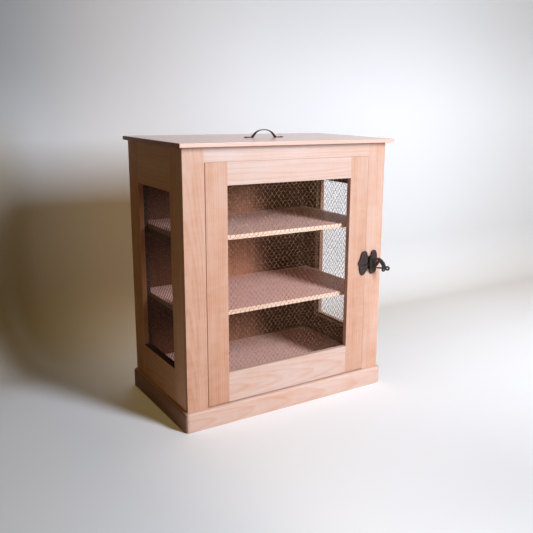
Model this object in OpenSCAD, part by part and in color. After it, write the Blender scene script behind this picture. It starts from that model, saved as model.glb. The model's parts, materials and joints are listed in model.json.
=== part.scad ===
// Counter-top food safe: a frame-and-rail case with wire netting in the door
// and in both sides, two shelves, a lift handle and a cast hasp latch.
// Origin: floor level, in the middle of the overall width and depth.
// The front faces -Y, the hinge side of the door is at -X.

/* [Case] */
// Width of the case over the side frames
case_w = 600; // [560:1:680]
// Depth of the case from the face frame's front to the back
case_d = 346; // [330:1:420]
// Height of the case under the top board
case_h = 698; // [680:1:760]
// Thickness of the frame stock
stock_t = 12.7; // [11:0.1:16]
// Thickness of the back panel
back_t = 12.7; // [6:0.1:14]

/* [Top board] */
// Thickness of the top board
top_t = 10; // [9:0.5:20]
// Overhang of the top board at each side
top_side_over = 14; // [6:1:30]
// Overhang of the top board at the front
top_front_over = 21.5; // [6:0.5:26]

/* [Plinth] */
// Height of the plinth
plinth_h = 51; // [40:1:51]
// Thickness of the plinth boards
plinth_t = 9; // [8.5:0.5:14]
// Radius of the plinth's corners
plinth_corner_r = 8; // [1:0.5:8]
// Radius of the plinth's upper edge
plinth_edge_r = 7; // [1:0.5:8]

/* [Face frame] */
// Width of the face frame's two stiles
face_stile_w = 56; // [50:1:70]
// Height of the face frame's top rail
face_top_rail_h = 36; // [30:1:60]

/* [Side frames] */
// Width of the side frames' front stiles
side_front_stile_w = 62.5; // [50:0.5:64]
// Width of the side frames' back stiles
side_back_stile_w = 66; // [50:1:72]
// Height of the side frames' bottom rails
side_bottom_rail_h = 142; // [134:1:170]
// Height of the left side frame's top rail
left_top_rail_h = 109; // [90:1:120]
// Height of the right side frame's top rail
right_top_rail_h = 128; // [90:1:135]

/* [Door] */
// Gap round the door, at its sides and its top
door_gap = 1.5; // [1.5:0.1:2]
// Height of the door's lower edge above the floor
door_bottom_z = 53.5; // [53:0.5:56]
// Width of the door's stiles
door_stile_w = 58; // [50:1:66]
// Height of the door's top rail
door_top_rail_h = 55; // [46:1:80]
// Height of the door's bottom rail
door_bottom_rail_h = 79; // [60:1:95]
// Thickness of the battens behind the door's netting
door_batten_t = 5; // [3:0.5:6]
// Width of the battens behind the door's netting
door_batten_w = 22; // [15:1:26]

/* [Joinery] */
// Length of the stub tenons
tenon_l = 12; // [6:1:20]
// Thickness of the stub tenons
tenon_t = 5; // [3:0.5:6]
// Height left beside each tenon on its rail
tenon_shoulder = 6; // [3:1:8]

/* [Netting] */
// Thickness of the netting between frame and battens
net_t = 0.9; // [0.6:0.1:0.95]
// Width of one strand of the simplified netting
net_strand_w = 2; // [1.2:0.1:3]
// Number of gaps across the door's netting
door_net_columns = 10; // [6:1:12]
// Number of gaps across a side's netting
side_net_columns = 6; // [3:1:8]
// Height of a gap's row against its width, from centre to centre
net_row_ratio = 1.06; // [0.9:0.02:1.3]
// How far the netting runs under the battens
net_border = 12; // [6:1:13]

/* [Inside battens] */
// Thickness of the battens on the side frames
side_batten_t = 12; // [8:0.5:14]
// Width of the front battens
front_batten_w = 35; // [24:1:36]
// How far the battens stay back from the window's edges
batten_setback = 6; // [2:1:8]

/* [Shelves] */
// Thickness of the shelves and the bottom board
shelf_t = 12; // [10:0.5:18]
// Height of the bottom board's top face
floor_z = 80; // [72:1:90]
// Height of the lower shelf's top face
lower_shelf_z = 286.5; // [250:0.5:320]
// Height of the upper shelf's top face
upper_shelf_z = 479; // [440:1:520]
// Distance of the shelves' front edges behind the case's front
shelf_setback = 29; // [29:1:34]
// Height of the cleats' section
cleat_h = 12; // [10:1:16]
// Width of the cleats' section
cleat_w = 12; // [10:1:16]

/* [Door pivots] */
// Distance of the pivot from the door's hinge edge
pivot_inset = 15; // [12:1:16]
// Radius of the pivot pins
pivot_r = 3; // [2:0.1:3.2]
// Wall of the pivot bushes
bush_wall = 1.5; // [1:0.1:1.8]
// Depth of the bushes in the door
bush_l = 14; // [8:1:24]
// Length of pin that is held in the case
pivot_root = 14; // [8:1:24]
// Radial running clearance of the turning fits
run_gap = 0.05; // [0.02:0.01:0.1]

/* [Lift handle] */
// Distance of the handle's centre behind the case's front
handle_setback = 143; // [120:1:190]
// Length of the handle over its feet
handle_l = 123; // [110:1:150]
// Width of the arch where it meets the feet
handle_span = 82; // [64:1:88]
// Height of the arch above the top board
handle_rise = 22.5; // [18:0.5:40]
// Thickness of the arch
handle_bar_t = 3.5; // [3:0.5:6]
// Width of the arch
handle_bar_w = 9; // [6:0.5:12]
// Thickness of the feet
handle_foot_t = 2.5; // [2:0.5:4]
// Radius of the feet's round ends
handle_foot_r = 7; // [6:0.5:9]

/* [Latch] */
// Height of the latch's middle above the floor
latch_z = 367; // [300:1:440]
// Distance of the hinge pin from the door's latch edge
latch_pin_out = 13.5; // [12:0.5:20]
// Distance of the hinge pin in front of the case
latch_pin_front = 8; // [8:0.5:10]
// Radius of the hinge pin
latch_pin_r = 1.6; // [1.2:0.1:2]
// Radius of the knuckles round the pin
knuckle_r = 4.5; // [3.5:0.1:4.5]
// Height of each knuckle of the right wing
lug_h = 6; // [4:0.5:8]
// Half the height of the whole knuckle stack
barrel_half_h = 19; // [17:0.5:22]
// Thickness of the wing plates
wing_t = 3; // [2:0.5:3]
// Radius of the wings' upper and lower lobes
wing_lobe_r = 12; // [9:0.5:13]
// Half the distance between the lobes' centres
wing_lobe_half = 22; // [18:0.5:26]
// Distance of the keeper wing's middle from the hinge pin
keeper_out = 22; // [20:0.5:24]
// Distance of the case wing's middle from the hinge pin
case_wing_out = 14.5; // [13:0.5:18]
// Radius of the keeper's stud
stud_r = 2.5; // [1.5:0.1:2.8]
// Thickness of the lever
lever_t = 4; // [3:0.5:4]
// How far the lever is swung out of the front when stored
lever_rest_deg = 45; // [20:1:80]

/* [Screws] */
// Radius of the screws' shanks
screw_r = 1.7; // [1.2:0.1:2]
// Radius of the screws' heads
screw_head_r = 3.4; // [2.6:0.1:4]
// Height of the screws' heads
screw_head_h = 1.6; // [1:0.1:1.8]
// Length of the small screws under their heads
screw_l = 11; // [8:1:12]
// Length of the cleat screws under their heads
cleat_screw_l = 20; // [16:1:22]

/* [Hidden] */
$fn = 48;

// Overlap that lets a cut run clean through a surface
cut = 1;
// Part of a row's height that the netting's slanted strands take
net_slant = 0.3;
// Radial gap of a fixed pin or screw in its hole
fixed_gap = 0.02;
// Wood left over the end of a pin or screw
screw_cover = 3;
// Free length past the end of a turning pin
pin_end_gap = 0.5;
// Distance of the top and cleat screws from the cleats' ends
screw_inset = 30;
// Gap between the battens and the heads of the top screws
head_gap = 0.4;
// Distance of the front battens behind the shelves' front edges
batten_step = 5;

// Lever outline: distance from the pin, height above the latch's middle
lever_ring_at = [48.7, -12.4];
lever_ring_r = 6;
lever_ring_hole_r = 2.6;
lever_eyelet_at = [38, -18.5];
lever_eyelet_r = 4.2;
lever_eyelet_hole_r = 1.5;
lever_eye = [[25.6, 1.3], [19.9, -9.6], [32.3, -9.1]];
lever_body = [[0, -11], [12, -12], [20, -16.7], [33, -17], [40, -15], [47, -9.5], [40.6, 1.8],
    [36.5, 8.8], [30, 15.5], [25, 18], [20.5, 16.2], [14, 12.2], [0, 12]];

// The lever in front and the plinth at the back set the middle of the overall depth
lever_reach = latch_pin_front + (lever_ring_at[0] + lever_ring_r) * sin(lever_rest_deg)
    + lever_t / 2 * cos(lever_rest_deg);
back_y = (case_d + lever_reach - plinth_t) / 2;
front_y = back_y - case_d;

half_w = case_w / 2;
inner_x = half_w - stock_t;
rear_of_face = front_y + stock_t;
back_inner_y = back_y - back_t;
shelf_front_y = front_y + shelf_setback;
front_batten_y = shelf_front_y + batten_step;
shelf_end_x = inner_x - net_t - side_batten_t;
side_frame_d = case_d - stock_t;

// Face frame opening and the door in it
opening_half_w = half_w - face_stile_w;
opening_top_z = case_h - face_top_rail_h;
door_half_w = opening_half_w - door_gap;
door_top_z = opening_top_z - door_gap;
door_h = door_top_z - door_bottom_z;
window_half_w = door_half_w - door_stile_w;
window_bottom_z = door_bottom_z + door_bottom_rail_h;
window_top_z = door_top_z - door_top_rail_h;

// Side windows, seen from the side: front edge, back edge and sill
side_front_edge = rear_of_face + side_front_stile_w;
side_back_edge = back_y - side_back_stile_w;
batten_top_z = case_h - cleat_h - screw_head_h - head_gap;

pivot_x = -door_half_w + pivot_inset;
pivot_y = front_y + stock_t / 2;
bush_r = pivot_r + run_gap + bush_wall;
washer_gap = 0.1;
washer_t = door_bottom_z - plinth_h - washer_gap;
washer_r = 5.3;
pin_grip = bush_l - pin_end_gap;

latch_x = door_half_w + latch_pin_out;
latch_pin_y = front_y - latch_pin_front;
lug_gap = 0.2;
pin_head_t = 1.5;
pin_head_over = 1;
case_wing_half_w = 12.5;
keeper_half_w = 13.5;
keeper_x = latch_x - keeper_out;
case_wing_x = latch_x + case_wing_out;
wing_face_y = front_y - wing_t;
stud_at = [26, -5.7];
stud_proud = 3;
stud_l = latch_pin_front - wing_t + lever_t / 2 + stud_proud;

wood_dark = "peru";
wood_mid = "burlywood";
wood_pale = "wheat";
iron = "dimgray";

// Box between two opposite corners
module block(low, high) {
    translate(low) cube(high - low);
}

// Upright of a frame, with a mortise in its inner edge for each rail's height
module upright(width, height, rails) {
    difference() {
        cube([width, stock_t, height]);
        for (rail = rails)
            translate([width - tenon_l, (stock_t - tenon_t) / 2, rail[0] + tenon_shoulder])
                cube([tenon_l + cut, tenon_t, rail[1] - rail[0] - 2 * tenon_shoulder]);
    }
}

// Rail from shoulder to shoulder, with a stub tenon at each end
module cross_rail(length, height) {
    cube([length, stock_t, height]);
    translate([-tenon_l, (stock_t - tenon_t) / 2, tenon_shoulder])
        cube([length + 2 * tenon_l, tenon_t, height - 2 * tenon_shoulder]);
}

// Hexagonal gap of the netting, pointed at its top and bottom
module net_gap(width, height, side_h) {
    polygon([for (p = [[0, height], [width, side_h], [width, -side_h],
        [0, -height], [-width, -side_h], [-width, side_h]]) p / 2]);
}

// Flat netting in X and Z over an opening, with staggered hexagonal gaps
module netting(width, height, columns) {
    pitch = width / columns;
    rows = round(height / (pitch * net_row_ratio));
    row_h = height / rows;
    gap_w = pitch - net_strand_w;
    side_h = (1 - net_slant) * row_h;
    gap_h = (1 + net_slant) * row_h - 2 * net_strand_w;
    translate([0, net_t, 0]) rotate([90, 0, 0]) linear_extrude(net_t) difference() {
        translate([-net_border, -net_border])
            square([width + 2 * net_border, height + 2 * net_border]);
        intersection() {
            square([width, height]);
            for (r = [0 : rows - 1], c = [-(r % 2) : columns - 1])
                translate([(c + 0.5 + (r % 2) / 2) * pitch, (r + 0.5) * row_h])
                    net_gap(gap_w, gap_h, side_h);
        }
    }
}

// Screw along +Y, its head's underside at the origin
module screw(length) {
    rotate([-90, 0, 0]) cylinder(r = screw_r, h = length);
    rotate([90, 0, 0]) cylinder(r = screw_head_r, h = screw_head_h);
}

// Hole that takes a screw
module screw_hole(length) {
    translate([0, -cut, 0]) rotate([-90, 0, 0])
        cylinder(r = screw_r + fixed_gap, h = length + cut + fixed_gap);
}

// Local frame of the left side: X runs from the back to the front, Y inwards
module on_left_side() {
    translate([-half_w, back_y, 0]) rotate([0, 0, -90]) children();
}

// Side frame pieces are drawn once for the left and mirrored for the right
module on_side(left) {
    if (left) on_left_side() children();
    else mirror([1, 0, 0]) on_left_side() children();
}

function side_rails(top_rail_h) = [[0, side_bottom_rail_h], [case_h - top_rail_h, case_h]];
side_window_w = side_frame_d - side_front_stile_w - side_back_stile_w;

module side_front_stile(left, top_rail_h) {
    color(wood_dark) on_side(left) translate([side_frame_d, stock_t, 0]) rotate([0, 0, 180])
        upright(side_front_stile_w, case_h, side_rails(top_rail_h));
}

module side_back_stile(left, top_rail_h) {
    color(wood_dark) on_side(left) upright(side_back_stile_w, case_h, side_rails(top_rail_h));
}

module side_rail(left, low_z, high_z) {
    color(wood_mid) on_side(left) translate([side_back_stile_w, 0, low_z])
        cross_rail(side_window_w, high_z - low_z);
}

module side_net(left, top_rail_h) {
    color("silver") on_side(left) translate([side_back_stile_w, stock_t, side_bottom_rail_h])
        netting(side_window_w, case_h - top_rail_h - side_bottom_rail_h, side_net_columns);
}

// Batten on the inner face of a side frame, from y1 to y2 and z1 to z2
module side_batten(left, y1, y2, z1, z2, holes = []) {
    color(wood_mid) mirror([left ? 0 : 1, 0, 0]) difference() {
        block([-inner_x + net_t, y1, z1], [-shelf_end_x, y2, z2]);
        for (at = holes)
            translate([-shelf_end_x + cleat_w, at[0], at[1]]) rotate([0, 0, 90])
                screw_hole(cleat_screw_l);
    }
}

// Depth and height of each cleat screw
cleat_screw_ys = [front_batten_y + front_batten_w / 2, back_inner_y - screw_inset];
cleat_screw_zs = [for (z = [lower_shelf_z, upper_shelf_z]) z - shelf_t - cleat_h / 2];
front_batten_back = min(front_batten_y + front_batten_w, side_front_edge - batten_setback);
front_holes = [for (z = cleat_screw_zs) [cleat_screw_ys[0], z]];
back_holes = [for (z = cleat_screw_zs) [cleat_screw_ys[1], z]];

module front_batten(left) {
    side_batten(left, front_batten_y, front_batten_back, floor_z, batten_top_z, front_holes);
}

module back_batten(left) {
    side_batten(left, side_back_edge + batten_setback, back_inner_y, floor_z, batten_top_z, back_holes);
}

module cross_batten(left, z1, z2) {
    side_batten(left, front_batten_back, side_back_edge + batten_setback, z1, z2);
}

// Pair of cleats along the sides, with their outer faces at outer_x
module cleat_pair(outer_x, top_z, holes = []) {
    color(wood_mid) for (side = [0, 1]) mirror([side, 0, 0]) difference() {
        block([-outer_x, front_batten_y, top_z - cleat_h], [-outer_x + cleat_w, back_inner_y, top_z]);
        for (y = holes)
            translate([-outer_x + cleat_w, y, top_z - cleat_h / 2]) rotate([0, 0, 90])
                screw_hole(cleat_screw_l);
    }
}

module shelf(top_z) {
    color(wood_pale)
        block([-shelf_end_x, shelf_front_y, top_z - shelf_t], [shelf_end_x, back_inner_y, top_z]);
}

// Screws that go up through the top cleats into the top board
top_screw_x = inner_x - cleat_w / 2;
top_screw_l = cleat_h + top_t - screw_cover;
top_screw_ys = [front_batten_y + screw_inset, back_inner_y - screw_inset];

module at_top_screws() {
    for (x = [-top_screw_x, top_screw_x], y = top_screw_ys)
        translate([x, y, case_h - cleat_h]) rotate([90, 0, 0]) children();
}

handle_screw_x = (handle_l - handle_foot_r * 2) / 2;
handle_y = front_y + handle_setback;
handle_screw_l = handle_foot_t + top_t - screw_cover;

module at_handle_screws() {
    for (x = [-handle_screw_x, handle_screw_x])
        translate([x, handle_y, case_h + top_t + handle_foot_t]) rotate([-90, 0, 0]) children();
}

module top_board() {
    color(wood_pale) difference() {
        block([-half_w - top_side_over, front_y - top_front_over, case_h],
            [half_w + top_side_over, back_y, case_h + top_t]);
        at_top_screws() screw_hole(top_screw_l);
        at_handle_screws() screw_hole(handle_screw_l);
    }
}

module back_panel() {
    color(wood_mid) block([-inner_x, back_inner_y, 0], [inner_x, back_y, case_h]);
}

module bottom_board() {
    color(wood_pale)
        block([-inner_x, shelf_front_y, floor_z - shelf_t], [inner_x, back_inner_y, floor_z]);
}

module upper_shelf() {
    shelf(upper_shelf_z);
}

module lower_shelf() {
    shelf(lower_shelf_z);
}

module left_front_stile() {
    side_front_stile(true, left_top_rail_h);
}

module left_back_stile() {
    side_back_stile(true, left_top_rail_h);
}

module left_top_rail() {
    side_rail(true, case_h - left_top_rail_h, case_h);
}

module left_bottom_rail() {
    side_rail(true, 0, side_bottom_rail_h);
}

module right_front_stile() {
    side_front_stile(false, right_top_rail_h);
}

module right_back_stile() {
    side_back_stile(false, right_top_rail_h);
}

module right_top_rail() {
    side_rail(false, case_h - right_top_rail_h, case_h);
}

module right_bottom_rail() {
    side_rail(false, 0, side_bottom_rail_h);
}

face_rails = [[0, plinth_h], [opening_top_z, case_h]];

module face_left_stile() {
    color(wood_dark) translate([-half_w, front_y, 0]) upright(face_stile_w, case_h, face_rails);
}

module face_right_stile() {
    color(wood_dark) difference() {
        translate([half_w, rear_of_face, 0]) rotate([0, 0, 180]) upright(face_stile_w, case_h, face_rails);
        at_wing_screws(case_wing_x) screw_hole(screw_l);
    }
}

module face_top_rail() {
    color(wood_pale) difference() {
        translate([-opening_half_w, front_y, opening_top_z])
            cross_rail(2 * opening_half_w, face_top_rail_h);
        translate([pivot_x, pivot_y, opening_top_z - cut])
            cylinder(r = pivot_r + fixed_gap, h = pivot_root + cut);
    }
}

module face_bottom_rail() {
    color(wood_mid) difference() {
        translate([-opening_half_w, front_y, 0]) cross_rail(2 * opening_half_w, plinth_h);
        translate([pivot_x, pivot_y, plinth_h - pivot_root])
            cylinder(r = pivot_r + fixed_gap, h = pivot_root + cut);
    }
}

// Outline of the whole plinth, round at its corners
module plinth_outline() {
    outer_w = case_w + 2 * plinth_t;
    outer_d = case_d + 2 * plinth_t;
    translate([-outer_w / 2, front_y - plinth_t]) {
        translate([plinth_corner_r, 0]) square([outer_w - 2 * plinth_corner_r, outer_d]);
        translate([0, plinth_corner_r]) square([outer_w, outer_d - 2 * plinth_corner_r]);
        for (x = [plinth_corner_r, outer_w - plinth_corner_r])
            for (y = [plinth_corner_r, outer_d - plinth_corner_r])
                translate([x, y]) circle(r = plinth_corner_r);
    }
}

// Section of a plinth board, with its back at X = 0 and its round edge outside
module plinth_section() {
    difference() {
        square([plinth_t, plinth_h]);
        translate([plinth_t - plinth_edge_r, plinth_h - plinth_edge_r]) difference() {
            square(plinth_edge_r + cut);
            circle(r = plinth_edge_r);
        }
    }
}

// Area in front of the two front mitres
module plinth_mitre() {
    reach = plinth_t + cut;
    polygon([[-half_w, front_y], [-half_w - reach, front_y - reach],
        [half_w + reach, front_y - reach], [half_w, front_y]]);
}

// Board along X in front of the case
module plinth_cross_board() {
    intersection() {
        linear_extrude(plinth_h) intersection() {
            plinth_outline();
            plinth_mitre();
        }
        translate([half_w + plinth_t, front_y, 0]) rotate([90, 0, -90])
            linear_extrude(case_w + 2 * plinth_t) plinth_section();
    }
}

// Board along Y at the left of the case
module plinth_side_board() {
    intersection() {
        linear_extrude(plinth_h) difference() {
            plinth_outline();
            plinth_mitre();
            over_depth() plinth_mitre();
        }
        translate([-half_w, front_y - plinth_t, 0]) rotate([90, 0, 180])
            linear_extrude(case_d + 2 * plinth_t) plinth_section();
    }
}

// Mirror image front to back, about the middle of the case's depth
module over_depth() {
    translate([0, front_y + back_y, 0]) mirror([0, 1, 0]) children();
}

module plinth_front() {
    color(wood_mid) plinth_cross_board();
}

module plinth_back() {
    color(wood_mid) over_depth() plinth_cross_board();
}

module plinth_left() {
    color(wood_dark) plinth_side_board();
}

module plinth_right() {
    color(wood_dark) mirror([1, 0, 0]) plinth_side_board();
}

module left_net() {
    side_net(true, left_top_rail_h);
}

module left_front_batten() {
    front_batten(true);
}

module left_back_batten() {
    back_batten(true);
}

module left_top_batten() {
    cross_batten(true, case_h - left_top_rail_h + batten_setback, batten_top_z);
}

module left_bottom_batten() {
    cross_batten(true, floor_z, side_bottom_rail_h - batten_setback);
}

module right_net() {
    side_net(false, right_top_rail_h);
}

module right_front_batten() {
    front_batten(false);
}

module right_back_batten() {
    back_batten(false);
}

module right_top_batten() {
    cross_batten(false, case_h - right_top_rail_h + batten_setback, batten_top_z);
}

module right_bottom_batten() {
    cross_batten(false, floor_z, side_bottom_rail_h - batten_setback);
}

module top_cleats() {
    color(wood_mid) difference() {
        for (side = [0, 1]) mirror([side, 0, 0])
            block([-inner_x, front_batten_y, case_h - cleat_h], [-inner_x + cleat_w, back_inner_y, case_h]);
        at_top_screws() screw_hole(top_screw_l);
    }
}

module upper_shelf_cleats() {
    cleat_pair(shelf_end_x, upper_shelf_z - shelf_t, cleat_screw_ys);
}

module lower_shelf_cleats() {
    cleat_pair(shelf_end_x, lower_shelf_z - shelf_t, cleat_screw_ys);
}

module bottom_cleats() {
    cleat_pair(inner_x, floor_z - shelf_t);
}

module top_screws() {
    color(iron) at_top_screws() screw(top_screw_l);
}

module cleat_screws() {
    color(iron) for (side = [0, 1], y = cleat_screw_ys, z = cleat_screw_zs)
        mirror([side, 0, 0]) translate([-shelf_end_x + cleat_w, y, z]) rotate([0, 0, 90])
            screw(cleat_screw_l);
}

stop_lap = 8;
stop_w = 26;
stop_t = 10;

module door_stop() {
    color(wood_mid) block([opening_half_w - stop_lap, rear_of_face, floor_z - shelf_t],
        [opening_half_w - stop_lap + stop_w, rear_of_face + stop_t, case_h]);
}

module upper_pivot_pin() {
    color("gold") translate([pivot_x, pivot_y, door_top_z - pin_grip])
        cylinder(r = pivot_r, h = pin_grip + door_gap + pivot_root);
}

module lower_pivot_pin() {
    color("gold") translate([pivot_x, pivot_y, plinth_h - pivot_root])
        cylinder(r = pivot_r, h = pivot_root + door_bottom_z - plinth_h + pin_grip);
}

module pivot_washer() {
    color("gold") translate([pivot_x, pivot_y, plinth_h]) difference() {
        cylinder(r = washer_r, h = washer_t);
        translate([0, 0, -cut]) cylinder(r = pivot_r + run_gap, h = washer_t + 2 * cut);
    }
}

// Circle through both feet of the arch and its crown
arch_r = (handle_span * handle_span / 4 + handle_rise * handle_rise) / (2 * handle_rise);

module lift_handle() {
    color("saddlebrown") translate([0, handle_y, case_h + top_t]) difference() {
        union() {
            intersection() {
                translate([0, handle_bar_w / 2, handle_rise - arch_r]) rotate([90, 0, 0]) difference() {
                    cylinder(r = arch_r, h = handle_bar_w, $fn = 96);
                    translate([0, 0, -cut])
                        cylinder(r = arch_r - handle_bar_t, h = handle_bar_w + 2 * cut, $fn = 96);
                }
                block([-handle_l / 2, -handle_bar_w, 0], [handle_l / 2, handle_bar_w, handle_rise + cut]);
            }
            for (side = [0, 1]) mirror([side, 0, 0]) {
                block([handle_span / 2 - handle_bar_t, -handle_bar_w / 2, 0],
                    [handle_screw_x, handle_bar_w / 2, handle_foot_t]);
                translate([handle_screw_x, 0, 0]) cylinder(r = handle_foot_r, h = handle_foot_t);
            }
        }
        translate([0, -handle_y, -case_h - top_t]) at_handle_screws() screw_hole(handle_screw_l);
    }
}

module handle_screws() {
    color(iron) at_handle_screws() screw(handle_screw_l);
}

// Places of a wing's two screws, heads to the front
module at_wing_screws(x) {
    for (side = [-1, 1])
        translate([x, wing_face_y, latch_z + side * wing_lobe_half]) children();
}

// Bean-shaped wing plate with its back on the case's front
module wing(x, half_width) {
    difference() {
        translate([x, front_y, latch_z]) rotate([90, 0, 0]) linear_extrude(wing_t) {
            for (side = [-1, 1]) translate([0, side * wing_lobe_half]) circle(r = wing_lobe_r);
            translate([-half_width, -wing_lobe_half + wing_lobe_r / 2])
                square([2 * half_width, 2 * wing_lobe_half - wing_lobe_r]);
        }
        at_wing_screws(x) screw_hole(screw_l);
    }
}

module latch_case_wing() {
    color(iron) difference() {
        union() {
            wing(case_wing_x, case_wing_half_w);
            for (z = [-barrel_half_h, barrel_half_h - lug_h]) translate([latch_x, 0, latch_z + z]) {
                translate([0, latch_pin_y, 0]) cylinder(r = knuckle_r, h = lug_h);
                block([-knuckle_r, latch_pin_y, 0], [case_wing_out - wing_lobe_r / 2, front_y, lug_h]);
            }
        }
        translate([latch_x, latch_pin_y, latch_z - barrel_half_h - cut])
            cylinder(r = latch_pin_r + fixed_gap, h = 2 * (barrel_half_h + cut));
    }
}

module latch_pin() {
    color(iron) translate([latch_x, latch_pin_y, latch_z - barrel_half_h]) {
        cylinder(r = latch_pin_r, h = 2 * barrel_half_h);
        translate([0, 0, 2 * barrel_half_h]) cylinder(r = latch_pin_r + pin_head_over, h = pin_head_t);
    }
}

module case_wing_screws() {
    color(iron) at_wing_screws(case_wing_x) screw(screw_l);
}

// Cast lever in its own frame: X away from the pin, Y through its thickness
module lever_shape() {
    knuckle_h = 2 * (barrel_half_h - lug_h - lug_gap);
    difference() {
        union() {
            rotate([90, 0, 0]) linear_extrude(lever_t, center = true) {
                polygon(lever_body);
                translate(lever_ring_at) circle(r = lever_ring_r);
                translate(lever_eyelet_at) circle(r = lever_eyelet_r);
            }
            translate([0, 0, -knuckle_h / 2]) cylinder(r = knuckle_r, h = knuckle_h);
        }
        rotate([90, 0, 0]) linear_extrude(lever_t + 2 * cut, center = true) {
            polygon(lever_eye);
            translate(lever_ring_at) circle(r = lever_ring_hole_r);
            translate(lever_eyelet_at) circle(r = lever_eyelet_hole_r);
        }
        translate([0, 0, -barrel_half_h]) cylinder(r = latch_pin_r + run_gap, h = 2 * barrel_half_h);
    }
}

module latch_lever() {
    color(iron) translate([latch_x, latch_pin_y, latch_z]) rotate([0, 0, -lever_rest_deg]) lever_shape();
}

door_rails = [[0, door_bottom_rail_h], [door_h - door_top_rail_h, door_h]];

module door_left_stile() {
    color(wood_dark) difference() {
        translate([-door_half_w, front_y, door_bottom_z]) upright(door_stile_w, door_h, door_rails);
        for (z = [door_bottom_z - cut, door_top_z - bush_l])
            translate([pivot_x, pivot_y, z]) cylinder(r = bush_r, h = bush_l + cut);
    }
}

module door_right_stile() {
    color(wood_dark) difference() {
        translate([door_half_w, rear_of_face, door_bottom_z]) rotate([0, 0, 180])
            upright(door_stile_w, door_h, door_rails);
        at_wing_screws(keeper_x) screw_hole(screw_l);
    }
}

module door_top_rail() {
    color(wood_pale) translate([-window_half_w, front_y, window_top_z])
        cross_rail(2 * window_half_w, door_top_rail_h);
}

module door_bottom_rail() {
    color(wood_mid) translate([-window_half_w, front_y, door_bottom_z])
        cross_rail(2 * window_half_w, door_bottom_rail_h);
}

module door_net() {
    color("silver") translate([-window_half_w, rear_of_face, window_bottom_z])
        netting(2 * window_half_w, window_top_z - window_bottom_z, door_net_columns);
}

door_batten_edge = 3;

// Batten behind the door's netting, between two corners in X and Z
module door_batten(x1, x2, z1, z2) {
    color(wood_mid) block([x1, rear_of_face + net_t, z1], [x2, rear_of_face + net_t + door_batten_t, z2]);
}

batten_in_x = window_half_w + door_batten_edge;
batten_out_x = batten_in_x + door_batten_w;
batten_low_z = window_bottom_z - door_batten_edge - door_batten_w;
batten_high_z = window_top_z + door_batten_edge + door_batten_w;

module door_left_batten() {
    door_batten(-batten_out_x, -batten_in_x, batten_low_z, batten_high_z);
}

module door_right_batten() {
    door_batten(batten_in_x, batten_out_x, batten_low_z, batten_high_z);
}
module door_top_batten() {
    door_batten(-batten_in_x, batten_in_x, batten_high_z - door_batten_w, batten_high_z);
}
module door_bottom_batten() {
    door_batten(-batten_in_x, batten_in_x, batten_low_z, batten_low_z + door_batten_w);
}

module pivot_bushes() {
    color("gold") for (z = [door_bottom_z, door_top_z - bush_l])
        translate([pivot_x, pivot_y, z]) difference() {
            cylinder(r = bush_r, h = bush_l);
            translate([0, 0, -cut]) cylinder(r = pivot_r + run_gap, h = bush_l + 2 * cut);
        }
}

module latch_keeper() {
    color(iron) {
        wing(keeper_x, keeper_half_w);
        translate([latch_x - stud_at[0], wing_face_y, latch_z + stud_at[1]])
            rotate([90, 0, 0]) cylinder(r = stud_r, h = stud_l);
    }
}

module keeper_screws() {
    color(iron) at_wing_screws(keeper_x) screw(screw_l);
}

top_board();
back_panel();
bottom_board();
upper_shelf();
lower_shelf();
left_front_stile();
left_back_stile();
left_top_rail();
left_bottom_rail();
right_front_stile();
right_back_stile();
right_top_rail();
right_bottom_rail();
face_left_stile();
face_right_stile();
face_top_rail();
face_bottom_rail();
plinth_front();
plinth_back();
plinth_left();
plinth_right();
left_net();
left_front_batten();
left_back_batten();
left_top_batten();
left_bottom_batten();
right_net();
right_front_batten();
right_back_batten();
right_top_batten();
right_bottom_batten();
top_cleats();
upper_shelf_cleats();
lower_shelf_cleats();
bottom_cleats();
top_screws();
cleat_screws();
door_stop();
upper_pivot_pin();
lower_pivot_pin();
pivot_washer();
lift_handle();
handle_screws();
latch_case_wing();
latch_pin();
case_wing_screws();
door_left_stile();
door_right_stile();
door_top_rail();
door_bottom_rail();
door_net();
door_left_batten();
door_right_batten();
door_top_batten();
door_bottom_batten();
pivot_bushes();
latch_keeper();
keeper_screws();
latch_lever();
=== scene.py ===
import json
import math
import random

import bmesh
import bpy
from mathutils import Matrix, Vector


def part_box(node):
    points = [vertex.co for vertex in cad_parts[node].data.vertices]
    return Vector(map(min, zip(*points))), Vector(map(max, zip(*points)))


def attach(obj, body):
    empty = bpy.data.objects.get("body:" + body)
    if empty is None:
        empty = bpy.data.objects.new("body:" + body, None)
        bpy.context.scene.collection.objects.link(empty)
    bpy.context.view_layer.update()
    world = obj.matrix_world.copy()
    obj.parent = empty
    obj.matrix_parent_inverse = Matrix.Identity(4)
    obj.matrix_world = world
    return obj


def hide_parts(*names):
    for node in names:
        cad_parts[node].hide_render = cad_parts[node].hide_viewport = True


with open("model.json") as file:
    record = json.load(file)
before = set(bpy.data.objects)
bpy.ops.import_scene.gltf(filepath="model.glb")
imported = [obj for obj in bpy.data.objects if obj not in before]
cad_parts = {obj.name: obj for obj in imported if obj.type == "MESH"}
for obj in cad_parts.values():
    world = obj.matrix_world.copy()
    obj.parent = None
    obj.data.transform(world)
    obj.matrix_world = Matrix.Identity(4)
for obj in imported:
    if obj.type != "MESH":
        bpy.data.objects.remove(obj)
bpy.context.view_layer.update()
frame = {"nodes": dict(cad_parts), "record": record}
scene = bpy.context.scene
record = frame["record"]
mm = 0.001
slack = 0.2 * mm             # two boards nearer than this touch
dice = random.Random(4127)
print("frame loaded:", len(frame["nodes"]), "nodes")

bodyOf = {node: body for body, group in record["behaviour"]["bodies"].items() for node in group}
slotOf = {part["node"]: part["material_slot"] for part in record["subparts"]}


# small steps for the materials
def newMaterial(name):
    material = bpy.data.materials.new(name)
    material.use_nodes = True
    tree = material.node_tree
    return material, tree, tree.nodes["Principled BSDF"]


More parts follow.
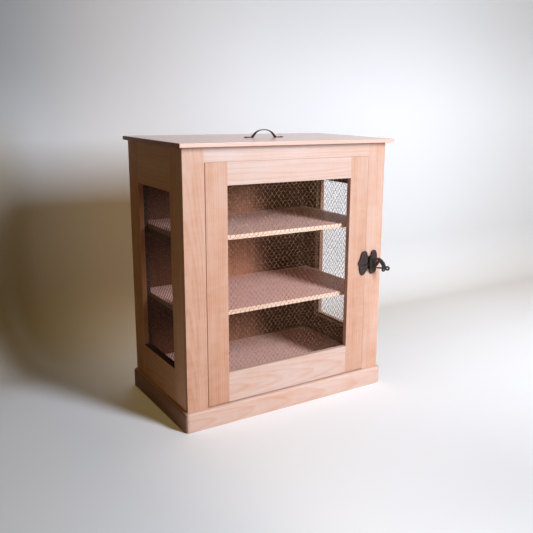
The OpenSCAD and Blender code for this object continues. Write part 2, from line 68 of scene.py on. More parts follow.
def feed(tree, socket, value):
    # a socket is linked, anything else is typed in
    if isinstance(value, bpy.types.NodeSocket):
        tree.links.new(value, socket)
    else:
        socket.default_value = value


def mathNode(tree, operation, first, second=0.0, clamp=False):
    node = tree.nodes.new("ShaderNodeMath")
    node.operation = operation
    node.use_clamp = clamp
    feed(tree, node.inputs[0], first)
    feed(tree, node.inputs[1], second)
    return node.outputs[0]


def times(tree, first, *others):
    for other in others:
        first = mathNode(tree, "MULTIPLY", first, other)
    return first


def vectorNode(tree, operation, first, second=(0, 0, 0)):
    node = tree.nodes.new("ShaderNodeVectorMath")
    node.operation = operation
    feed(tree, node.inputs[0], first)
    feed(tree, node.inputs[1], second)
    return node.outputs["Value" if operation == "LENGTH" else "Vector"]


def splitNode(tree, point):
    node = tree.nodes.new("ShaderNodeSeparateXYZ")
    feed(tree, node.inputs[0], point)
    return node.outputs


def joinNode(tree, x, y, z):
    node = tree.nodes.new("ShaderNodeCombineXYZ")
    for socket, value in zip(node.inputs, (x, y, z)):
        feed(tree, socket, value)
    return node.outputs[0]


def tinted(tree, value, colour):
    return vectorNode(tree, "MULTIPLY", joinNode(tree, value, value, value), colour)


def mixNode(tree, factor, first, second):
    node = tree.nodes.new("ShaderNodeMix")
    node.data_type = "RGBA"
    feed(tree, node.inputs["Factor"], factor)
    feed(tree, node.inputs[6], first)
    feed(tree, node.inputs[7], second)
    return node.outputs[2]


def noiseNode(tree, point, scale=1.0, detail=2.0, roughness=0.5, distortion=0.0):
    node = tree.nodes.new("ShaderNodeTexNoise")
    feed(tree, node.inputs["Vector"], point)
    settings = {"Scale": scale, "Detail": detail, "Roughness": roughness, "Distortion": distortion}
    for name, value in settings.items():
        node.inputs[name].default_value = value
    return node.outputs["Fac"]


def rampNode(tree, value, stops):
    node = tree.nodes.new("ShaderNodeValToRGB")
    feed(tree, node.inputs["Fac"], value)
    points = node.color_ramp.elements
    while len(points) < len(stops):
        points.new(0.5)
    for point, (place, colour) in zip(points, stops):
        point.position = place
        point.color = (*colour, 1)
    return node.outputs["Color"]


def greyRamp(tree, value, stops):
    return rampNode(tree, value, [(place, (level, level, level)) for place, level in stops])


def bumpNode(tree, height, distance, strength):
    node = tree.nodes.new("ShaderNodeBump")
    feed(tree, node.inputs["Height"], height)
    node.inputs["Distance"].default_value = distance
    node.inputs["Strength"].default_value = strength
    return node.outputs["Normal"]


def attributeNode(tree, name, output):
    node = tree.nodes.new("ShaderNodeAttribute")
    node.attribute_name = name
    return node.outputs[output]


def makeWood(name, look):
    # boardPoint runs along the board in X; boardTone picks the board's colour; a third, per-face attribute darkens
    # end grain and paints shade on a face, or painted light where it is below 0
    material, tree, shader = newMaterial(name)
    point = attributeNode(tree, "boardPoint", "Vector")
    noises = {kind: noiseNode(tree, vectorNode(tree, "MULTIPLY", point, scale), **settings)
              for kind, (scale, settings) in look["noises"].items()}
    place = splitNode(tree, point)
    shift = times(tree, mathNode(tree, "SUBTRACT", noises["wander"], 0.5), look["wander"])
    reach = vectorNode(tree, "LENGTH", joinNode(tree, 0.0, mathNode(tree, "ADD", place["Y"], shift), place["Z"]))
    ring = mathNode(tree, "FRACT", mathNode(tree, "DIVIDE", reach, look["ringPitch"]))
    late = greyRamp(tree, ring, look["ringRamp"])
    fleck = greyRamp(tree, noises["fleck"], look["fleckRamp"])
    value = attributeNode(tree, "boardTone", "Fac")
    for source, middle, depth in (
        (late, 0.35, look["ringDepth"]),
        (noises["fibre"], 0.5, look["fibreDepth"]),
        (noises["streak"], 0.5, look["streakDepth"]),
        (noises["blotch"], 0.5, look["blotchDepth"]),
        (noises["curl"], 0.5, look["curlDepth"]),
        (fleck, 0.0, look["fleckDepth"]),
    ):
        value = mathNode(tree, "ADD", value, times(tree, mathNode(tree, "SUBTRACT", source, middle), depth))
    light = vectorNode(tree, "SUBTRACT", (1, 1, 1), attributeNode(tree, "endGrainAndPaintedShade", "Vector"))
    colour = vectorNode(tree, "MULTIPLY", rampNode(tree, value, look["colours"]), light)
    feed(tree, shader.inputs["Base Color"], colour)
    vary = look["roughVary"]
    rough = mathNode(tree, "ADD", times(tree, noises["fibre"], vary), look["roughness"] - vary / 2)
    feed(tree, shader.inputs["Roughness"], rough)
    shader.inputs["Specular IOR Level"].default_value = look["shine"]
    if "coat" in look:
        # a face in painted shade shines less as well, so its sheen is painted down with the shade
        shine = mathNode(tree, "SUBTRACT", 1.0, attributeNode(tree, "endGrainAndPaintedShade", "Fac"))
        shine = times(tree, shine, shine)
        feed(tree, shader.inputs["Coat Weight"], times(tree, shine, look["coat"]))
        feed(tree, shader.inputs["Specular IOR Level"], times(tree, shine, look["shine"]))
        shader.inputs["Coat Roughness"].default_value = look["coatRoughness"]
    pores = times(tree, mathNode(tree, "ADD", late, fleck), look["poreHeight"])
    height = mathNode(tree, "ADD", times(tree, noises["fibre"], look["fibreHeight"]), pores)
    feed(tree, shader.inputs["Normal"], bumpNode(tree, height, look["bump"], 0.5))
    return material


def scaled(colours, red, green, blue):
    return [(place, (r * red, g * green, b * blue)) for place, (r, g, b) in colours]


woodColours = [(0.0, (0.70, 0.59, 0.595)), (0.25, (0.675, 0.495, 0.45)), (0.5, (0.64, 0.388, 0.302)),
               (0.75, (0.556, 0.287, 0.196)), (1.0, (0.365, 0.164, 0.094))]
topColours = [(0.0, (0.90, 0.60, 0.55)), (0.3, (0.88, 0.55, 0.49)), (0.65, (0.76, 0.42, 0.33)),
              (1.0, (0.44, 0.23, 0.16))]
# paler wood for the shelves and the bottom board, partly their own paler tone and partly painted light, as little
# light reaches them
shelfPaintedLightColours = [(0.0, (1.0, 0.72, 0.72)), (0.35, (0.99, 0.60, 0.55)), (0.7, (0.84, 0.42, 0.31)),
                (1.0, (0.54, 0.24, 0.15))]
# a darker copy of the wood, painted shade for the strips inside the case
paintedShadeColours = scaled(woodColours, 0.40, 0.34, 0.29)
# a lighter, warmer copy of the wood for the back panel: painted light, under the painted shade laid on its inside
backPaintedLightColours = scaled(woodColours, 1.12, 1.04, 0.98)
woodLook = {
    "colours": woodColours,
    "noises": {                # waves per metre along, across and through the board, then the noise's own settings
        "wander": ((2.6, 16, 16), {"detail": 2}),
        "fibre": ((8, 620, 620), {"detail": 4, "roughness": 0.6}),
        "streak": ((2.2, 95, 95), {"detail": 3, "roughness": 0.55}),
        "blotch": ((7, 20, 20), {"detail": 3}),
        "curl": ((60, 22, 22), {"detail": 1, "distortion": 0.4}),
        "fleck": ((75, 1500, 1500), {"detail": 1}),
    },
    "ringRamp": [(0.0, 0.12), (0.55, 0.3), (0.86, 1.0), (0.94, 0.8), (1.0, 0.12)],
    "fleckRamp": [(0.66, 0.0), (0.76, 1.0)], "wander": 0.022, "ringPitch": 0.0052,
    "ringDepth": 0.14, "fibreDepth": 0.30, "streakDepth": 0.42, "blotchDepth": 0.42, "curlDepth": 0.10,
    "fleckDepth": 0.16, "roughness": 0.56, "roughVary": 0.16, "shine": 0.32,
    "fibreHeight": 0.7, "poreHeight": -0.25, "bump": 0.0003,
}
wideRings = {"ringPitch": 0.0068}
finishes = {
    "stile_wood": makeWood("stileWood", {**woodLook, "curlDepth": 0.2}),
    "rail_wood": makeWood("railWood", {**woodLook, "ringDepth": 0.19, "ringPitch": 0.009, "wander": 0.034}),
    "board_wood": makeWood("boardWood", {**woodLook, **wideRings}),
    "topFinish": makeWood("topWood", {**woodLook, **wideRings, "colours": topColours, "roughness": 0.3, "shine": 1.0,
                                      "coat": 0.45, "coatRoughness": 0.22}),
    "shelfPaintedLightFinish": makeWood("shelfPaintedLightWood", {**woodLook, **wideRings, "colours": shelfPaintedLightColours}),
    "backPaintedLightFinish": makeWood("backPaintedLightWood", {**woodLook, **wideRings, "colours": backPaintedLightColours}),
    "darkFinish": makeWood("paintedShadeWood", {**woodLook, "colours": paintedShadeColours, "streakDepth": 0.7}),
    "batten_wood": makeWood("battenWood", {**woodLook, "streakDepth": 0.7}),
}


def makeMetal(name, look):
    material, tree, shader = newMaterial(name)
    spot = tree.nodes.new("ShaderNodeTexCoord").outputs["Object"]
    cloud = noiseNode(tree, spot, look["cloudScale"], 4, 0.6)
    grain = noiseNode(tree, spot, look["grainScale"], 3, 0.6)
    feed(tree, shader.inputs["Base Color"], rampNode(tree, cloud, look["colours"]))
    shader.inputs["Metallic"].default_value = look["metallic"]
    vary = times(tree, mathNode(tree, "SUBTRACT", cloud, 0.5), look["roughVary"])
    feed(tree, shader.inputs["Roughness"], mathNode(tree, "ADD", vary, look["roughness"]))
    feed(tree, shader.inputs["Normal"], bumpNode(tree, grain, look["bump"], 0.6))
    return material


metalLooks = {
    "netting": {"colours": [(0.38, (0.18, 0.09, 0.05)), (0.58, (0.76, 0.455, 0.285))], "metallic": 0.85,
                "roughness": 0.28, "roughVary": 0.3, "cloudScale": 260, "grainScale": 1500, "bump": 0.00004},
    "latch_iron": {"colours": [(0.35, (0.016, 0.011, 0.013)), (0.5, (0.042, 0.027, 0.031)),
                               (0.62, (0.062, 0.038, 0.040)), (0.75, (0.11, 0.055, 0.036))], "metallic": 0.3,
                   "roughness": 0.58, "roughVary": 0.35, "cloudScale": 170, "grainScale": 420, "bump": 0.0011},
    "handle_bronze": {"colours": [(0.35, (0.060, 0.038, 0.031)), (0.6, (0.115, 0.070, 0.056)),
                                  (0.8, (0.22, 0.13, 0.095))], "metallic": 0.7, "roughness": 0.42,
                      "roughVary": 0.25, "cloudScale": 110, "grainScale": 520, "bump": 0.00022},
    "screw_steel": {"colours": [(0.35, (0.42, 0.41, 0.40)), (0.7, (0.60, 0.59, 0.57))], "metallic": 1.0,
                    "roughness": 0.38, "roughVary": 0.2, "cloudScale": 300, "grainScale": 1500, "bump": 0.00004},
    "pivot_brass": {"colours": [(0.35, (0.62, 0.43, 0.17)), (0.7, (0.80, 0.60, 0.27))], "metallic": 1.0,
                    "roughness": 0.33, "roughVary": 0.2, "cloudScale": 220, "grainScale": 1200, "bump": 0.00003},
}
for name, base, colours in (
    # a darker copy of the latch iron: painted shade for the pin and the lever's hub between the wings
    ("paintedShadeIron", "latch_iron", [(0.35, (0.008, 0.006, 0.004)), (0.6, (0.030, 0.024, 0.012)),
                                (0.75, (0.060, 0.042, 0.020))]),
    # darker copies of the netting: painted shade for the nets of the right side, seen from inside, and of the shaded
    # left side
    ("shadeNetting", "netting", [(0.38, (0.05, 0.04, 0.034)), (0.6, (0.16, 0.12, 0.10))]),
    ("leftShadeNetting", "netting", [(0.38, (0.09, 0.046, 0.025)), (0.6, (0.26, 0.14, 0.09))]),
):
    metalLooks[name] = {**metalLooks[base], "colours": colours}
for name, look in metalLooks.items():
    finishes[name] = makeMetal(name.split("_")[-1] + "Finish", look)

for node, thing in frame["nodes"].items():
    thing.data.materials.clear()
    thing.data.materials.append(finishes[slotOf[node]])
print("materials made:", len(finishes))


# steps that every piece shares
def meshOf(shape, name):
    mesh = bpy.data.meshes.new(name)
    shape.to_mesh(mesh)
    shape.free()
    return mesh


def curveMesh(curve):
    holder = bpy.data.objects.new(curve.name, curve)
    scene.collection.objects.link(holder)
    bpy.context.view_layer.update()
    mesh = bpy.data.meshes.new_from_object(holder.evaluated_get(bpy.context.evaluated_depsgraph_get()))
    bpy.data.objects.remove(holder)
    return mesh


def addMesh(shape, mesh):
    shape.from_mesh(mesh)
    bpy.data.meshes.remove(mesh)


def newVerts(grown):
    return [part for part in grown["geom"] if isinstance(part, bmesh.types.BMVert)]


def cutAcross(shape, axis, place):
    spot, normal = Vector(), Vector()
    spot[axis], normal[axis] = place, 1
    bmesh.ops.bisect_plane(shape, geom=shape.verts[:] + shape.edges[:] + shape.faces[:],
                           plane_co=spot, plane_no=normal, dist=1e-6)


def easeEdges(shape, edges, width, steps):
    bmesh.ops.bevel(shape, geom=edges, offset=width * mm, segments=steps, profile=0.5, affect="EDGES",
                    material=-1)


def keepMesh(mesh, name, body, slotName, nodes, sharpAngle=None, finish=None):
    mesh.materials.clear()
    mesh.materials.append(finishes[finish or slotName])
    if sharpAngle is not None:
        mesh.shade_smooth()
        mesh.set_sharp_from_angle(angle=math.radians(sharpAngle))
    piece = bpy.data.objects.new(name, mesh)
    scene.collection.objects.link(piece)
    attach(piece, body)
    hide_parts(*nodes)
    return piece


# the boards of the case and the door
boardLook = {                  # sizes in mm
    "edge": 0.5,               # the eased edge, but for the boards that "edges" names
    "edges": {"top_board": 1.3, "shelf": 0.8},
    "bevelSteps": 3,
    "tenon": 12,               # hidden in the stile at each end of a rail
    "cleat": 12,
    "seam": 1.2,               # how far the door closes its gap at the right and at the top
    "nearEdge": 3,             # no cut is made nearer than this to a board's own edge
    "endGrain": 0.3,           # how much darker a board's end is
    "tone": 0.45,              # of a board that boardTones leaves out
    "draws": {"along": (0, 4), "across": (0.10, 0.2), "depth": (0.03, 0.1), "slope": (-0.012, 0.012),
              "tone": (-0.03, 0.03)},     # what the dice choose between
}
facingShare = 0.7              # a face turned along an axis has more than this share of it in its normal
boardTones = {                 # 0 is the palest pink board, 1 the reddest; a pair fades along the board and paints the change of light along it
    "face_left_stile": (0.60, 0.46), "face_right_stile": (0.5, 0.4), "door_left_stile": (0.66, 0.44),
    "door_right_stile": (0.5, 0.4), "face_top_rail": (0.12, 0.24), "door_top_rail": (0.2, 0.14),
    "door_bottom_rail": 0.24, "face_bottom_rail": 0.26, "plinth_front": (0.3, 0.26),
    "plinth_left": 0.75, "plinth_right": 0.4, "plinth_back": 0.45, "top_board": 0.16, "back_panel": 0.75,
    "upper_shelf": 0.12, "lower_shelf": 0.2, "bottom_board": 0.16, "left_front_stile": 0.55,
    "left_back_stile": 0.6, "left_top_rail": 0.56, "left_bottom_rail": 0.6, "right_front_stile": 0.56,
    "right_back_stile": 0.58, "right_top_rail": 0.52, "right_bottom_rail": 0.6,
}
cathedralBoards = {            # the heart of the tree: across, depth and slope of the log
    "door_bottom_rail": (-0.03, 0.012, 0.09), "plinth_front": (-0.02, 0.02, 0.08),
    "face_left_stile": (-0.005, 0.02, 0.05), "top_board": (-0.17, 0.03, 0.03),
    "upper_shelf": (-0.1, 0.03, 0.03), "lower_shelf": (-0.16, 0.025, 0.04), "back_panel": (-0.2, 0.03, 0.03),
    "left_bottom_rail": (-0.06, 0.02, 0.06), "right_bottom_rail": (-0.07, 0.02, 0.05),
    "bottom_board": (-0.12, 0.02, 0.03), "right_top_rail": (-0.03, 0.02, 0.06),
}
boardNodes = [node for node in slotOf if slotOf[node] in ("stile_wood", "rail_wood", "board_wood", "batten_wood")]
boardFinish = {"top_board": "topFinish", "back_panel": "backPaintedLightFinish", "upper_shelf": "shelfPaintedLightFinish",
               "lower_shelf": "shelfPaintedLightFinish", "bottom_board": "shelfPaintedLightFinish"}
for node in boardNodes:
    # the strips inside get the darker copy of the wood: painted shade, as they lie in shade
    sideBatten = node.endswith("_batten") and not node.startswith("door")
    if sideBatten or node in ("upper_shelf_cleats", "lower_shelf_cleats", "bottom_cleats"):
        boardFinish[node] = "darkFinish"


def boardBoxes(node):
    low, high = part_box(node)
    if node.endswith("_rail"):
        along = 0 if node.startswith(("face", "door")) else 1
        low[along] += boardLook["tenon"] * mm
        high[along] -= boardLook["tenon"] * mm
    if node == "door_right_stile":
        high.x += boardLook["seam"] * mm
    if node in ("door_left_stile", "door_right_stile", "door_top_rail", "door_stop"):
        high.z += boardLook["seam"] * mm    # what the stop strip gains is hidden in the top board
    if not node.endswith("_cleats"):
        return [(low, high)]
    left, right = high.copy(), low.copy()
    left.x, right.x = low.x + boardLook["cleat"] * mm, high.x - boardLook["cleat"] * mm
    return [(low, left), (right, high)]


allBoxes = {node: boardBoxes(node) for node in boardNodes}


def holds(box, spot):
    return all(box[0][i] - slack <= spot[i] <= box[1][i] + slack for i in range(3))


def touching(one, other):
    return all(one[0][i] - slack <= other[1][i] and other[0][i] - slack <= one[1][i] for i in range(3))


def blockShape(low, high):
    shape = bmesh.new()
    bmesh.ops.create_cube(shape, size=1)
    bmesh.ops.scale(shape, vec=high - low, verts=shape.verts)
    bmesh.ops.translate(shape, vec=(low + high) / 2, verts=shape.verts)
    return shape


def easedBoard(low, high, easing, neighbours, cuts):
    # only the edges that no neighbour covers are eased
    shape = blockShape(low, high)
    inside = boardLook["nearEdge"] * mm
    for box in neighbours:
        for axis in range(3):
            for place in (box[0][axis], box[1][axis]):
                if low[axis] + inside < place < high[axis] - inside:
                    cutAcross(shape, axis, place)
    for axis, place in cuts:
        cutAcross(shape, axis, place)
    freeEdges = []
    for edge in shape.edges:
        middle = (edge.verts[0].co + edge.verts[1].co) / 2
        corner = edge.is_manifold and edge.calc_face_angle() > 0.2
        if corner and not any(holds(box, middle) for box in neighbours):
            freeEdges.append(edge)
    easeEdges(shape, freeEdges, easing, boardLook["bevelSteps"])
    keepFlat(shape)
    return shape


def keepFlat(shape):
    # the eased edges are shaded round and the faces between them flat
    shape.normal_update()
    for face in shape.faces:
        face.smooth = True
        if max(abs(part) for part in face.normal) > 0.9999:
            for edge in face.edges:
                edge.smooth = False


def keepBoard(shape, node):
    name = node + "_board"
    keepMesh(meshOf(shape, name), name, bodyOf[node], slotOf[node], [node], finish=boardFinish.get(node))


def markBoard(shape, axes, start, figure, tone, change, paintedShades):
    # a pair of tones fades from the board's low end to its high end, as painted light along the board
    lowTone, highTone = tone if isinstance(tone, tuple) else (tone, tone)
    reach = max(vert.co[axes[0]] for vert in shape.verts) - start[axes[0]]
    pointLayer = shape.verts.layers.float_vector.new("boardPoint")
    toneLayer = shape.verts.layers.float.new("boardTone")
    across, depth, slope = figure
    for vert in shape.verts:
        along = vert.co[axes[0]] - start[axes[0]]
        vert[pointLayer] = (along + start[3], vert.co[axes[1]] - start[axes[1]] + across,
                            vert.co[axes[2]] - start[axes[2]] + depth + slope * along)
        vert[toneLayer] = lowTone + (highTone - lowTone) * along / reach + change
    # per face: darker end grain, and painted shade or painted light from the board's table
    endGrainAndShadeLayer = shape.loops.layers.float_vector.new("endGrainAndPaintedShade")
    for face in shape.faces:
        level = 0.0
        if abs(face.normal[axes[0]]) > facingShare:
            level = boardLook["endGrain"]
        elif abs(face.normal[axes[1]]) > facingShare:
            level = paintedShades.get("edge", 0.0)
        for (axis, side), inner in paintedShades.get("faces", {}).items():
            if face.normal[axis] * side > facingShare:
                level = inner
        middle = face.calc_center_median()
        for loop in face.loops:
            here = level(loop.vert.co, middle) if callable(level) else level
            loop[endGrainAndShadeLayer] = here if isinstance(here, tuple) else (here, here, here)


# painted shade and painted light on some faces: 0 leaves the wood as it is, 1 is black and less
# than 0 is painted lighter, as one level or as red, green and blue; names in Fade, Up, In or Across hold places in
# metres
paintedShadeLook = {
    "backLeast": (0.45, 0.16, 0.3),      # in each compartment, from the lowest
    "backMost": 0.9, "backHidden": 0.8, "backLeft": 0.8, "backRight": 0.85,
    "backRise": 0.45, "backLeftRise": 0.35, "backWarm": (0.3, 0.55), "backFade": (-0.12, -0.02, 0.06, 0.14),
    "reveal": 0.88, "litReveal": (0.36, 0.5, 0.66),
    "sideFoot": 0.8, "sideFootUp": (0.46, 0.02), "sideFootIn": (-0.06, -0.15),
    "frontLit": 0.12, "frontLitAcross": (-0.25, 0.15), "frontLitUp": (0.1, 0.6),
    "frontFoot": 0.09, "frontFootUp": (0.0, 0.45),
    "frontCorner": 0.1, "frontCornerAcross": (0.24, 0.3), "frontCornerUp": (0.7, 0.3),
}
compartments = [(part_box(under)[1].z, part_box(over)[0].z) for under, over in (
    ("bottom_board", "lower_shelf"), ("lower_shelf", "upper_shelf"), ("upper_shelf", "top_board"))]
# the back panel is cut where its painted shade changes
backCuts = [(0, place) for place in paintedShadeLook["backFade"]]
backCuts += [(2, place) for compartment in compartments for place in compartment]


def clamped(value, start, end):
    return min(max((value - start) / (end - start), 0), 1)


def backPaintedShade(spot, middle):
    # painted shadow inside: the back panel is darkest at its ends and under a shelf, where the stiles and shelves
    # shade it, with a warmer shade at its left end
    leftDark, leftLight, rightLight, rightDark = paintedShadeLook["backFade"]
    for (floor, ceiling), least in zip(compartments, paintedShadeLook["backLeast"]):
        if floor < middle.z < ceiling:
            left = clamped(spot.x, leftLight, leftDark)
            right = paintedShadeLook["backRight"] * clamped(spot.x, rightLight, rightDark)
            rise = (paintedShadeLook["backRise"] - paintedShadeLook["backLeftRise"] * left) * clamped(spot.z, floor, ceiling)
            dim = min(max(least + (paintedShadeLook["backLeft"] - least) * left + rise, right), paintedShadeLook["backMost"])
            green, blue = (1 - (1 - dim) * (1 - part * left) for part in paintedShadeLook["backWarm"])
            return (dim, green, blue)
    return paintedShadeLook["backHidden"]


def revealPaintedShade(spot, middle):
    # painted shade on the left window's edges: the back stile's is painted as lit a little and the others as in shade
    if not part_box("face_left_stile")[1].y < middle.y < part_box("back_panel")[0].y:
        return 0.0
    lit = middle.y > 0 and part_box("left_bottom_rail")[1].z + mm < middle.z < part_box("left_top_rail")[0].z - mm
    return paintedShadeLook["litReveal"] if lit and middle.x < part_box("left_back_stile")[1].x else paintedShadeLook["reveal"]


def leftPaintedLight(spot, middle):
    # painted light on the left side's outer face: bounce from the lit floor in front is painted on the foot of the
    # front corner, and the whole face is painted a warmer shade
    foot = clamped(spot.z, *paintedShadeLook["sideFootUp"]) * clamped(spot.y, *paintedShadeLook["sideFootIn"])
    foot = paintedShadeLook["sideFoot"] * foot
    return (-0.02 - foot, -1.25 * foot, 0.2 - 1.7 * foot)


def frontPaintedLight(spot, middle):
    # painted light on the front: towards the lamp and the top it is painted a little darker, and its foot and low
    # right edge are painted lighter
    up = 0.4 + 0.6 * clamped(spot.z, *paintedShadeLook["frontLitUp"])
    lit = paintedShadeLook["frontLit"] * clamped(spot.x, *paintedShadeLook["frontLitAcross"]) * up
    foot = paintedShadeLook["frontFoot"] * (1 - clamped(spot.z, *paintedShadeLook["frontFootUp"]))
    corner = clamped(spot.x, *paintedShadeLook["frontCornerAcross"]) * clamped(spot.z, *paintedShadeLook["frontCornerUp"])
    return lit - foot - paintedShadeLook["frontCorner"] * corner


# painted shade on faces inside the case, under the boards, on the shaded left ends and a little on the top board's
# front edge; painted light on the plinth's front; a peach tint on the shelves' front edges
shelfPaintedShade = {"faces": {(2, -1): 0.5, (0, -1): 0.6, (0, 1): 0.6, (1, -1): (0.04, -0.13, -0.01)}}
boardPaintedShade = {                  # by the first word of the board's name; a face is (axis, side)
    "left": {"edge": revealPaintedShade, "faces": {(0, 1): 0.55, (0, -1): leftPaintedLight}},
    "right": {"faces": {(0, -1): 0.6, (1, -1): 0.4}},
    "back": {"faces": {(1, -1): backPaintedShade}},
    "top": {"faces": {(2, -1): 0.5, (1, -1): 0.1, (0, -1): (0.6, 0.72, 0.84)}},
    "upper": shelfPaintedShade, "lower": shelfPaintedShade,
    "plinth": {"faces": {(1, -1): -0.11, (0, -1): 0.42}},
    "face": {"faces": {(1, 1): 0.5, (1, -1): frontPaintedLight}},
    "door": {"faces": {(1, -1): frontPaintedLight}},
}

draws = boardLook["draws"]
for node in boardNodes:
    if node.startswith("plinth"):
        continue
    easing = next((width for word, width in boardLook["edges"].items() if word in node), boardLook["edge"])
    whole = bmesh.new()
    start = dice.uniform(*draws["along"])
    figure = (dice.uniform(*draws["across"]) * dice.choice((-1, 1)), dice.uniform(*draws["depth"]),
              dice.uniform(*draws["slope"]))
    change = dice.uniform(*draws["tone"])
    for low, high in allBoxes[node]:
        neighbours = [box for other in boardNodes if other != node and bodyOf[other] == bodyOf[node]
                      for box in allBoxes[other] if touching((low, high), box)]
        shape = easedBoard(low, high, easing, neighbours, backCuts if node == "back_panel" else ())
        sizes = high - low
        axes = sorted(range(3), key=lambda axis: -sizes[axis])
        markBoard(shape, axes, (*low, start), cathedralBoards.get(node, figure),
                  boardTones.get(node, boardLook["tone"]), change, boardPaintedShade.get(node.split("_")[0], {}))
        addMesh(whole, meshOf(shape, "part"))
    keepBoard(whole, node)
print("boards made:", len(boardNodes))

# the plinth is one rounded block, cut into four mitred boards
plinthLook = {"corner": 11, "topRound": 7, "steps": 6, "slope": 0.01}
plinthLow = Vector((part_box("plinth_left")[0].x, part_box("plinth_front")[0].y, 0))
plinthHigh = Vector((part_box("plinth_right")[1].x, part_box("plinth_back")[1].y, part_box("plinth_front")[1].z))


def plinthBoard(cuts):
    shape = blockShape(plinthLow, plinthHigh)
    upright = [edge for edge in shape.edges if abs(edge.verts[0].co.z - edge.verts[1].co.z) > 0.01]
    easeEdges(shape, upright, plinthLook["corner"], plinthLook["steps"])
    upper = [edge for edge in shape.edges if min(vert.co.z for vert in edge.verts) > plinthHigh.z - 1e-5]
    easeEdges(shape, upper, plinthLook["topRound"], plinthLook["steps"])
    for spot, normal in cuts:
        cut = bmesh.ops.bisect_plane(shape, geom=shape.verts[:] + shape.edges[:] + shape.faces[:],
                                     plane_co=spot, plane_no=normal, clear_outer=True, dist=1e-6)
        rim = [part for part in cut["geom_cut"] if isinstance(part, bmesh.types.BMEdge)]
        bmesh.ops.contextual_create(shape, geom=rim)
    bmesh.ops.recalc_face_normals(shape, faces=shape.faces)
    keepFlat(shape)
    return shape


caseX = (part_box("face_left_stile")[0].x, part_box("face_right_stile")[1].x)
caseY = (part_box("plinth_front")[1].y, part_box("plinth_back")[0].y)
frontLeft, backLeft, frontRight, backRight = (Vector((x, y, 0)) for x in caseX for y in caseY)
plinthCuts = {
    "plinth_front": [(frontLeft, (0, 1, 0)), (frontLeft, (-1, 1, 0)), (frontRight, (1, 1, 0))],
    "plinth_back": [(backRight, (0, -1, 0)), (backLeft, (-1, -1, 0)), (backRight, (1, -1, 0))],
    "plinth_left": [(frontLeft, (1, 0, 0)), (frontLeft, (1, -1, 0)), (backLeft, (1, 1, 0))],
    "plinth_right": [(backRight, (-1, 0, 0)), (frontRight, (-1, -1, 0)), (backRight, (-1, 1, 0))],
}
for node, cuts in plinthCuts.items():
    shape = plinthBoard(cuts)
    axes = (0, 2, 1) if node in ("plinth_front", "plinth_back") else (1, 2, 0)
    figure = (dice.uniform(*draws["across"]), dice.uniform(*draws["depth"]), plinthLook["slope"])
    start = dice.uniform(*draws["along"])
    markBoard(shape, axes, (*plinthLow, start), cathedralBoards.get(node, figure), boardTones[node], 0.0,
              boardPaintedShade["plinth"])
    keepBoard(shape, node)
print("plinth made")

# hexagonal wire netting, in mm: two wires twist round each other, part, and meet their other neighbours
netLook = {"pitch": 13.1, "repeat": 16.3, "twistShare": 0.36, "wire": 0.41, "strand": 0.36, "turns": 1.5,
           "twistSteps": 5}


def makeNet(node, body, flat, facing, finish):
    # flat is the axis that runs across the net, facing the one through it
    low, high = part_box(node)
    middle = (low + high) / 2
    pitch, repeat, strand = (netLook[name] * mm for name in ("pitch", "repeat", "strand"))
    twist = repeat / 2 * netLook["twistShare"]
    curve = bpy.data.curves.new(node + "Wires", "CURVE")
    curve.dimensions = "3D"
    curve.bevel_depth = netLook["wire"] * mm
    curve.bevel_resolution = 0
    curve.use_fill_caps = True
    columns = int((high[flat] - low[flat]) / pitch) + 2
    first = middle[flat] - columns / 2 * pitch
    for number in range(2 * columns):
        lean = 1 if number % 2 else -1
        wire = []
        level, row = low.z, 0
        while level < high.z + repeat:
            centre = first + (number // 2) * pitch + (lean * pitch / 2 if row % 2 else 0)
            side = -lean if row % 2 else lean
            for step in range(netLook["twistSteps"] + 1):
                share = step / netLook["twistSteps"]
                turn = 2 * math.pi * netLook["turns"] * share
                spot = Vector((0, 0, level + twist * (share - 0.5)))
                spot[flat] = centre + side * strand * math.cos(turn)
                spot[facing] = middle[facing] + side * strand * math.sin(turn)
                wire.append(spot)
            level += repeat / 2
            row += 1
        kept = [spot for spot in wire if low[flat] < spot[flat] < high[flat] and low.z < spot.z < high.z]
        if len(kept) > 1:
            spline = curve.splines.new("POLY")
            spline.points.add(len(kept) - 1)
            for point, spot in zip(spline.points, kept):
                point.co = (*spot, 1)
    mesh = curveMesh(curve)
    mesh.name = node + "_wires"
    mesh.calc_loop_triangles()
    print(node, "triangles:", len(mesh.loop_triangles))
    keepMesh(mesh, node + "_wires", body, "netting", [node], sharpAngle=180, finish=finish)


makeNet("door_net", "door", 0, 1, "netting")
makeNet("left_net", "case", 1, 0, "leftShadeNetting")
makeNet("right_net", "case", 1, 0, "shadeNetting")


# castings are drawn in mm, as a cage that a subdivision rounds
def outlineCage(shape, outline, back, front, inset, crown):
    # outline is (X, Z); the cage is closed at the back and crowned in front
    face = shape.faces.new([shape.verts.new((x, back, z)) for x, z in outline])
    grown = bmesh.ops.extrude_face_region(shape, geom=[face])
    bmesh.ops.translate(shape, vec=(0, front - back, 0), verts=newVerts(grown))
    top = [part for part in grown["geom"] if isinstance(part, bmesh.types.BMFace)]
    bmesh.ops.inset_region(shape, faces=top, thickness=inset, depth=0, use_even_offset=True)
    bmesh.ops.translate(shape, vec=(0, crown, 0), verts=top[0].verts)


